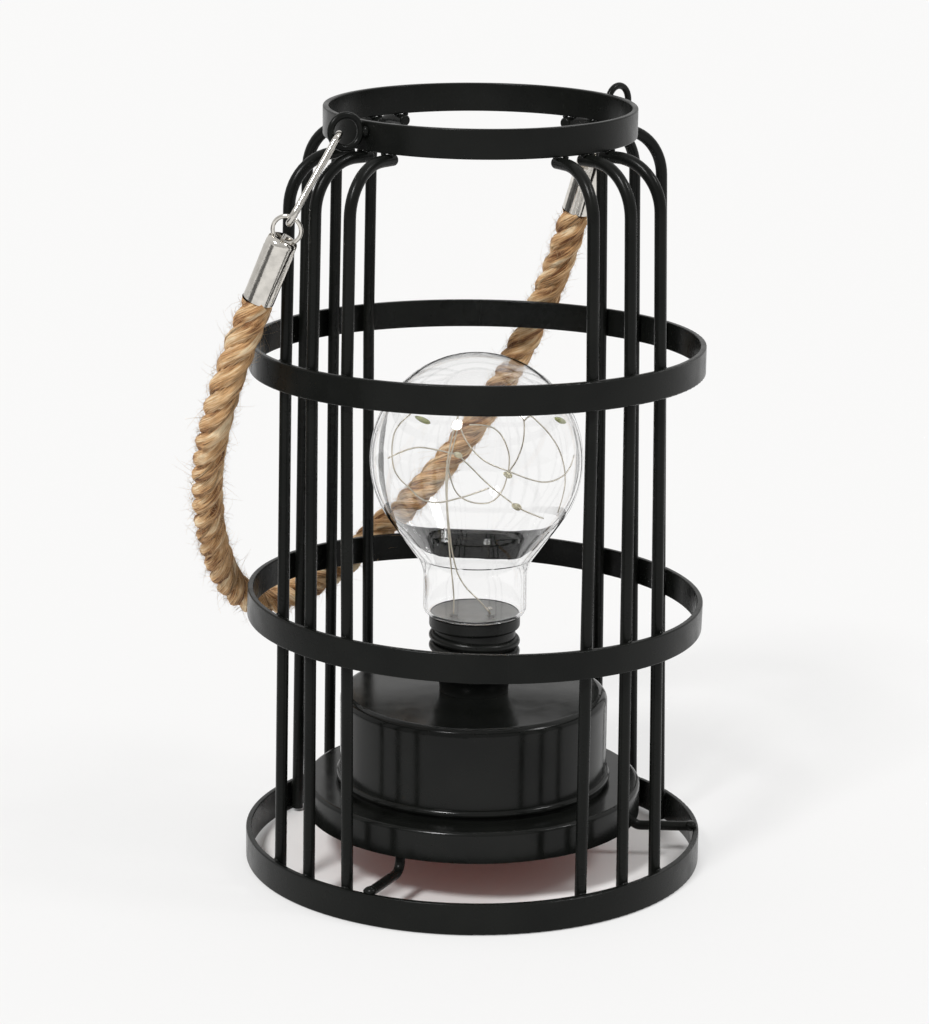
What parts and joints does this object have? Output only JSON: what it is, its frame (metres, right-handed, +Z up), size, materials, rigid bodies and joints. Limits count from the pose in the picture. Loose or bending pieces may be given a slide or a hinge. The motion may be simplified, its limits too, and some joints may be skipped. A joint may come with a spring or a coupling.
{
  "type": "lantern table lamp",
  "caption": "Battery lamp with a clear bulb on a spun round base, inside a black wire and band cage with a rope handle on snap hooks.",
  "frame": {"origin": "on the surface that the lamp stands on, under the centre of the cage", "axes": "+Z up; -Y is the side seen in the picture; +X is to its right"},
  "size_m": [0.1777, 0.1756, 0.2684],
  "materials": {
    "black_metal": "glossy black lacquer on steel",
    "plated_steel": "nickel-plated steel, satin",
    "inner_steel": "plain zinc-plated steel",
    "jute": "twisted jute rope with loose fibres",
    "clear_glass": "clear blown glass",
    "grey_plastic": "light grey moulded plastic",
    "coated_wire": "thin dark coated wire",
    "bead_resin": "cast resin drops over small lights",
    "red_plastic": "dark brick-red moulded plastic",
    "black_plastic": "black moulded plastic",
    "circuit_board": "green lacquered board",
    "battery_can": "plain wrapped cell",
    "lead_insulation": "soft lead insulation"
  },
  "bodies": {
    "lamp": {"base_bracket_1": "black_metal", "base_bracket_2": "black_metal", "base_bracket_3": "black_metal", "base_ring": "black_metal", "base_shell": "black_metal", "battery_1": "battery_can", "battery_2": "battery_can", "battery_3": "battery_can", "battery_leads": "lead_insulation", "battery_springs": "inner_steel", "battery_tray": "black_plastic", "board_parts": "circuit_board", "bottom_cover": "red_plastic", "bulb_glass": "clear_glass", "circuit_board": "circuit_board", "contact_plates": "inner_steel", "cover_screws": "inner_steel", "handle_eye_back": "black_metal", "handle_eye_front": "black_metal", "lamp_leads": "lead_insulation", "led_beads": "bead_resin", "led_plug": "grey_plastic", "led_wire": "coated_wire", "lower_hoop": "black_metal", "neck_collar": "black_metal", "neck_nut": "inner_steel", "support_posts": "black_plastic", "switch_body": "black_plastic", "switch_leads": "lead_insulation", "top_ring": "black_metal", "upper_hoop": "black_metal", "upright_01": "black_metal", "upright_02": "black_metal", "upright_03": "black_metal", "upright_04": "black_metal", "upright_05": "black_metal", "upright_06": "black_metal", "upright_07": "black_metal", "upright_08": "black_metal", "upright_09": "black_metal", "upright_10": "black_metal", "upright_11": "black_metal", "upright_12": "black_metal"},
    "handle": {"ferrule_back": "plated_steel", "ferrule_front": "plated_steel", "gate_pin_back": "plated_steel", "gate_pin_front": "plated_steel", "jump_ring_back": "plated_steel", "jump_ring_front": "plated_steel", "rope_handle": "jute", "snap_hook_back": "plated_steel", "snap_hook_front": "plated_steel"},
    "gate_front": {"hook_gate_front": "plated_steel"},
    "gate_back": {"hook_gate_back": "plated_steel"},
    "door": {"battery_door": "red_plastic"},
    "switch": {"switch_knob": "black_plastic"}
  },
  "joints": [
    {"name": "handle_swing", "type": "hinge", "parent": "lamp", "child": "handle", "pos_m": [-0.04709, -0.04168, 0.25635], "axis": [0.7745, 0.6324, 0.0158], "range_deg": [0, 64]},
    {"name": "gate_front_open", "type": "hinge", "parent": "handle", "child": "gate_front", "pos_m": [-0.05888, -0.04614, 0.23515], "axis": [0.8767, -0.0378, -0.4795], "range_deg": [0, 13], "stiffness_Nm_per_rad": 0.01, "springref_deg": -11.46},
    {"name": "gate_back_open", "type": "hinge", "parent": "handle", "child": "gate_back", "pos_m": [0.03987, 0.05829, 0.25061], "axis": [0.5272, 0.5207, 0.6715], "range_deg": [0, 13], "stiffness_Nm_per_rad": 0.01, "springref_deg": -11.46},
    {"name": "battery_door_release", "type": "slide", "parent": "lamp", "child": "door", "axis": [0, 0, -1], "range_m": [0, 0.015]},
    {"name": "power_switch_slide", "type": "slide", "parent": "lamp", "child": "switch", "axis": [1, 0, 0], "range_m": [0, 0.004]}
  ]
}
